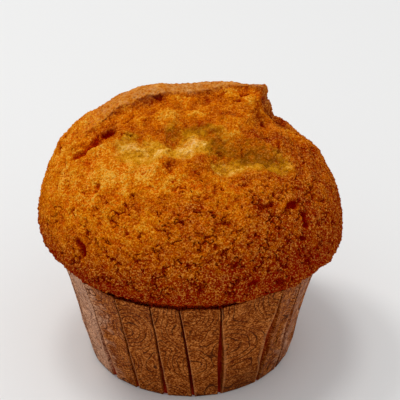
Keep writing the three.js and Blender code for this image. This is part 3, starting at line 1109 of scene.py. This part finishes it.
# Angles round the case: up to where a pleat's right fold is the brighter one, with a painted
# highlight, where the paper stayed dry and a sheen is painted on it, and where painted shade
# darkens the wall above its foot
BRIGHT_SIDE_TURNS = 30
DRY_AND_SHEEN_LEFT = {"from": (30, 58), "to": (115, 150)}
DRY_AND_SHEEN_RIGHT = {"from": (36, 60), "to": (110, 150), "share": 0.45}
BASE_SHADE_ZONE = {"angle": 32, "spread": 34, "height": (1, 12)}


def pleat_angles():
    """The pleats' angles at the mouth and at the base, all the way round."""
    pleats = list(FRONT_PLEATS)
    draw = draws(BACK_PLEATS["seed"])
    first, last = pleats[0][0] + 360, pleats[-1][0]
    spacing = (first - last) / (BACK_PLEATS["count"] + 1)
    for i in range(1, BACK_PLEATS["count"] + 1):
        mouth = last + i * spacing + BACK_PLEATS["wander"] * (2 * next(draw) - 1)
        pleats.append((mouth, mouth + BACK_PLEATS["wander"] * (2 * next(draw) - 1)))
    return pleats


def case_columns(share):
    """Angle and radius of every column of the wall, share of the way up, and how deep it lies
    in a slit, where shade is painted: -1 on the fold on its brighter side, where a highlight is
    painted, 0 on a panel."""
    radius = mix(BASE_RADIUS, MOUTH_RADIUS, share)
    depth = mix(PLEAT_DEPTH[1], PLEAT_DEPTH[0], share)
    depth *= mix(PLEAT_START, 1, rise(share, 0, SLIT_FULL))
    stand = FOLD_STAND * mix(PLEAT_START, 1, rise(share, 0, FOLD_FULL))
    places = []
    for mouth, base in pleat_angles():
        half = math.degrees(mix(PLEAT_WIDTH[1], PLEAT_WIDTH[0], share) / radius)
        wider, at = WIDE_PLEATS.get(mouth, (0, 0))
        half *= 1 + wider * falloff((share - at) / GAPE_REACH)
        places.append((mix(base, mouth, share), half))
    places.append((places[0][0] + 360, places[0][1]))
    angles, offsets, slits = [], [], []
    for (here, half), (there, next_half) in zip(places, places[1:]):
        lit = 1 if here < BRIGHT_SIDE_TURNS else -1
        for way, sunk, stood in PLEAT_SECTION:
            angles.append(here + way * half)
            offsets.append(stand * stood - depth * sunk)
            slits.append(sunk - stood * (way * lit > 0))
        left = here + PLEAT_SECTION[-1][0] * half
        right = there + PLEAT_SECTION[0][0] * next_half
        sag = mix(*FLATNESS, share) * radius * (1 - math.cos(math.radians(right - left) / 2))
        for step in range(1, PANEL_STEPS + 1):
            across = step / (PANEL_STEPS + 1)
            angles.append(mix(left, right, across))
            offsets.append(-sag * 4 * across * (1 - across))
            slits.append(0)
    radii = radius + np.array(offsets)
    height = mix(WALL_FOOT, CASE_HEIGHT, share)
    for dent in DENTS:
        away = (np.array(angles) - dent["angle"] + 180) % 360 - 180
        radii -= (dent["depth"] * falloff(away / dent["spread"])
                  * falloff((height - dent["height"]) / dent["rise"]))
    return np.radians(angles), radii, np.array(slits)


def pleat(case, columns, rows):
    """Slides the points of each ring to the columns of the pleats."""
    places = places_of(case)
    x, y, z = places.T
    column = np.round(turn_of(x, y) / 360 * columns).astype(int) % columns
    slit = np.zeros(len(x))
    for height, radius in rows:
        ring = (np.abs(z - height) < SAME_HEIGHT) & (np.hypot(x, y) > FLOOR_MIDDLE)
        share = max(0, (height - WALL_FOOT) / (CASE_HEIGHT - WALL_FOOT))
        angles, radii, slits = case_columns(share)
        radii = radii - max(0, BASE_RADIUS - radius)
        mine = column[ring]
        slit[ring] = slits[mine]
        places[ring, 0] = radii[mine] * np.sin(angles[mine])
        places[ring, 1] = -radii[mine] * np.cos(angles[mine])
    move_to(case, places)
    paint(case, "slit", slit)
    turn = turn_of(x, y)
    # Pale where the paper stayed dry, and a painted sheen on both sides, stronger on the left
    dry_and_sheen = rise(-turn, *DRY_AND_SHEEN_LEFT["from"]) * (1 - rise(-turn, *DRY_AND_SHEEN_LEFT["to"]))
    dry_and_sheen += (DRY_AND_SHEEN_RIGHT["share"] * rise(turn, *DRY_AND_SHEEN_RIGHT["from"])
            * (1 - rise(turn, *DRY_AND_SHEEN_RIGHT["to"])))
    paint(case, "dry_and_sheen", dry_and_sheen)
    # Painted shade on the front right of the wall, low down above its foot
    paint(case, "base_shade", facing(turn, BASE_SHADE_ZONE) * (1 - rise(z, *BASE_SHADE_ZONE["height"])))


# The paper's own bends: how far each pushes the wall in and out
WAVES = (9, -0.22, 0.16, 1)
CRINKLES = (1.7, -0.1, 0.1)
CRINKLE_STRETCH = (1.0, 1.0, 0.3)
PAPER_LOOSE = (0.4, 4)
UNEVEN_TOP = (4, -0.3, 0)
TOP_BAND = 3


def crinkle_nodes():
    """Bends the paper a little: wide waves, fine crinkles and an uneven top edge."""
    group, n = new_relief("paper_crinkles")
    position = n.add("GeometryNodeInputPosition").outputs[0]
    place = n.scaled(position, 1 / MM)
    height = n.parts_of(place)[2]
    upright = n.vector("MULTIPLY", place, CRINKLE_STRETCH)
    push = n.product(
        n.total(n.uneven(place, *WAVES), n.uneven(upright, *CRINKLES)),
        n.fit(height, *PAPER_LOOSE, smooth=True), MM)
    out = n.vector("NORMALIZE", n.vector("MULTIPLY", position, (1.0, 1.0, 0.0)))
    lift = n.product(
        n.uneven(place, *UNEVEN_TOP), n.fit(height, CASE_HEIGHT - TOP_BAND, CASE_HEIGHT), MM)
    lift = n.add("ShaderNodeCombineXYZ", {2: lift}).outputs[0]
    move = n.vector("ADD", n.scaled(out, push), lift)
    start = n.add("NodeGroupInput").outputs[0]
    n.add("NodeGroupOutput", {0: n.add(
        "GeometryNodeSetPosition", {"Geometry": start, "Offset": move}).outputs[0]})
    return group


# Print on the paper: how far apart its groups of rings lie and its rings, and how wide
# a line is, as a share of the way to the next
RING_GROUP = 12.5
RING_SPACING = 0.9
RING_SMOOTHNESS = 0.35
RING_BEND = (9, 1.5)
RING_WOBBLE = (2.2, 0.18)
RING_LINE = (0.04, 0.14)
RING_FADE = (4, 0.25, 0.9, 3, 0.6, (0.36, 0.52), True)

FIBRE = (0.34, 0.36, 0.64, 2, 0.7, (0.36, 0.64))
FIBRE_STRETCH = (0.7, 0.7, 1.0)
MOTTLES = (2.4, 3, 0.6)
MOTTLE_SHARE = 0.25
SHADE_SPREAD = (0.40, 0.61)
DRY_AND_SHEEN_EDGE = (3, -0.35, 0.35, 3, 0.6)
DRY_AND_SHEEN_SPREAD = (0.25, 0.85)

GREASY_SHADES = [
    (0, (0.11, 0.012, 0.0004)), (0.5, (0.26, 0.055, 0.0024)), (1, (0.58, 0.195, 0.042))]
PALE_AND_SHEEN_SHADES = [(0, (0.24, 0.09, 0.038)), (1, (0.78, 0.42, 0.25))]
LINE_ON_GREASY = (0.055, 0.008, 0.0006, 1)
LINE_ON_PALE_AND_SHEEN = (0.13, 0.036, 0.013, 1)
GREASE_AND_SHADE_COLOUR = (0.05, 0.009, 0.001, 1)
SLIT_SHADE = (0.28, 0.007, 0.0006, 1)
FOLD_HIGHLIGHT = (0.6, 0.25, 0.09, 1)
PAPER_END = (0.7, 0.16, 0.4, 0.015)


def paper_material():
    material, n = new_finish("case_paper")
    place = n.place()
    height = n.parts_of(place)[2]
    slit = n.kept("slit")

    # Print: groups of wobbly rings, like those of cut wood
    wobbly = n.warped(n.warped(place, *RING_BEND), *RING_WOBBLE)
    away = n.cells(wobbly, RING_GROUP, "SMOOTH_F1", RING_SMOOTHNESS)
    rings = n.calc("FRACT", n.product(away, RING_GROUP / RING_SPACING))
    line = n.product(
        n.fit(n.away_from(0.5, rings), *RING_LINE, 1, 0, smooth=True),
        n.uneven(place, *RING_FADE))

    # Paper: greasy and brown, pale where it stayed dry and where a sheen is painted on its
    # sides, both with fibres and mottles
    fibre = n.uneven(n.vector("MULTIPLY", place, FIBRE_STRETCH), *FIBRE)
    shade = n.fit(n.total(
        n.product(n.noise(place, *MOTTLES), MOTTLE_SHARE),
        n.product(fibre, 1 - MOTTLE_SHARE)), *SHADE_SPREAD)
    greasy = n.blend(line, n.ramp(shade, GREASY_SHADES), LINE_ON_GREASY)
    pale_and_sheen = n.blend(line, n.ramp(shade, PALE_AND_SHEEN_SHADES), LINE_ON_PALE_AND_SHEEN)
    dry_and_sheen_share = n.fit(
        n.total(n.kept("dry_and_sheen"), n.uneven(place, *DRY_AND_SHEEN_EDGE)), *DRY_AND_SHEEN_SPREAD, 0, 0.9, smooth=True)
    colour = n.blend(dry_and_sheen_share, greasy, pale_and_sheen)

    # Grease and painted contact shade at the foot, painted shade low on the front right and in
    # the slits, and a painted highlight along the folds
    grease_and_shade = n.highest(n.fit(height, 0.9, 0.1, 0, 0.7), n.product(n.kept("base_shade"), 0.45))
    colour = n.blend(grease_and_shade, colour, GREASE_AND_SHADE_COLOUR)
    colour = n.blend(n.fit(slit, 0.05, 0.8, 0, 0.9), colour, SLIT_SHADE)
    colour = n.blend(n.fit(slit, -0.8, -1, 0, 0.25), colour, FOLD_HIGHLIGHT)
    n.end_finish(colour, n.total(fibre, n.noise(place, 1.4)), *PAPER_END)
    return material


def make_case():
    columns = (len(PLEAT_SECTION) + PANEL_STEPS) * len(pleat_angles())
    rows = [FOOT_CURVE]
    for row in range(CASE_ROWS + 1):
        share = row / CASE_ROWS
        rows.append((mix(WALL_FOOT, CASE_HEIGHT, share), mix(BASE_RADIUS, MOUTH_RADIUS, share)))
    case = add_disc("muffin_case", *FLOOR_EDGE, columns, "TRIFAN")
    edit(case)
    select_open_edges()
    raise_wall(FLOOR_EDGE, rows)
    face_outwards()
    leave_edit()
    pleat(case, columns, [FLOOR_EDGE] + rows)
    finish_with(case, "NODES", node_group=crinkle_nodes())
    finish_with(case, "SOLIDIFY", thickness=PAPER * MM, offset=-1)
    bpy.ops.object.shade_smooth_by_angle(angle=SMOOTH_BELOW)
    give_finish(case, paper_material())
    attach(case, "root")
    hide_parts("paper_case")


make_case()

# ---- Camera, light and floor ----

SENSOR = 36.0
LENS = 130.1
CAMERA_DISTANCE = 350.0
CAMERA_RISE = math.radians(33.0)
CAMERA_PIVOT = 32.0
CAMERA_AIM = (2.42, 0.0, 39.6)

# The room, in metres and watts
CAMERA_SEES = (0.01, 20)
LAMPS = {"window": ((-0.42, 0.20, 0.95), 2.6), "ceiling": ((-0.12, 0.10, 1.1), 2.2)}
LAMP_AIM = (0, 0, 0.03)
LAMP_SIZE = 0.25
FLOOR_SIZE = 4
FLOOR_SHADE = (0.80, 0.79, 0.77, 1)
FLOOR_ROUGHNESS = 0.7
SKY_SHADE = (0.95, 0.97, 1, 1)
SKY_STRENGTH = 0.72


def put(name, data, place, aim):
    """Stands a lamp or a camera at its place, pointed at its aim."""
    thing = bpy.data.objects.new(name, data)
    bpy.context.scene.collection.objects.link(thing)
    thing.location = place
    thing.rotation_euler = (Vector(aim) - Vector(place)).to_track_quat("-Z", "Y").to_euler()
    return thing


def make_camera():
    data = bpy.data.cameras.new("camera")
    data.sensor_width = SENSOR
    data.lens = LENS
    data.clip_start, data.clip_end = CAMERA_SEES
    place = Vector((0, -CAMERA_DISTANCE * math.cos(CAMERA_RISE),
                    CAMERA_PIVOT + CAMERA_DISTANCE * math.sin(CAMERA_RISE))) * MM
    bpy.context.scene.camera = put("camera", data, place, Vector(CAMERA_AIM) * MM)


def add_lamp(name, place, power):
    data = bpy.data.lights.new(name, "AREA")
    data.shape = "DISK"
    data.size = LAMP_SIZE
    data.energy = power
    put(name, data, place, LAMP_AIM)


def make_floor():
    bpy.ops.mesh.primitive_plane_add(size=FLOOR_SIZE, location=(0, 0, 0))
    floor = take_new("floor")
    board = bpy.data.materials.new("floor")
    board.use_nodes = True
    shader = board.node_tree.nodes["Principled BSDF"]
    shader.inputs["Base Color"].default_value = FLOOR_SHADE
    shader.inputs["Roughness"].default_value = FLOOR_ROUGHNESS
    floor.data.materials.append(board)


def light_room():
    world = bpy.data.worlds.new("room")
    world.use_nodes = True
    sky = world.node_tree.nodes["Background"]
    sky.inputs["Color"].default_value = SKY_SHADE
    sky.inputs["Strength"].default_value = SKY_STRENGTH
    bpy.context.scene.world = world
    bpy.context.scene.view_settings.view_transform = "Standard"


make_camera()
for lamp, (spot, watts) in LAMPS.items():
    add_lamp(lamp, spot, watts)
make_floor()
light_room()
